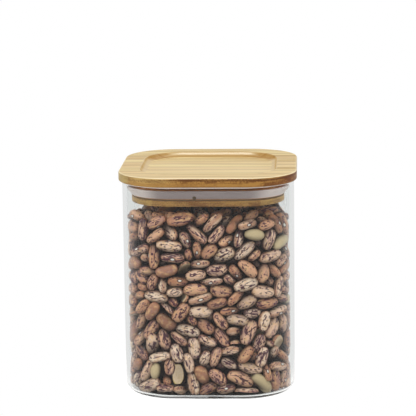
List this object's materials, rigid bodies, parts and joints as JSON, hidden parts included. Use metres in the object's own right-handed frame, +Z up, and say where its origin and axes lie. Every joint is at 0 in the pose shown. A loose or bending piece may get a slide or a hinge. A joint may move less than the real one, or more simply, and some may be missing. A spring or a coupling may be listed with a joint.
{
  "type": "glass canister",
  "caption": "Square clear glass food canister filled with dried speckled beans, closed by a flat bamboo lid with a dished top, a plug and a silicone seal.",
  "frame": {"origin": "the middle of the jar's base, on the surface that the canister stands on", "axes": "+Z up through the lid; -Y is the side that the picture shows, and X runs along the lid's grain"},
  "size_m": [0.1036, 0.1036, 0.1313],
  "materials": {
    "clear_glass": "gloss",
    "dried_beans": "satin",
    "bamboo_top": "satin",
    "bamboo_plug": "satin",
    "silicone": "matte"
  },
  "bodies": {
    "jar": {"glass_jar": "clear_glass", "bean_fill": "dried_beans"},
    "lid": {"lid_top_board": "bamboo_top", "lid_plug_board": "bamboo_plug", "seal_ring": "silicone"}
  },
  "joints": [
    {"name": "lid_lift", "type": "slide", "parent": "jar", "child": "lid", "axis": [0, 0, 1], "range_m": [0, 0.08]}
  ]
}
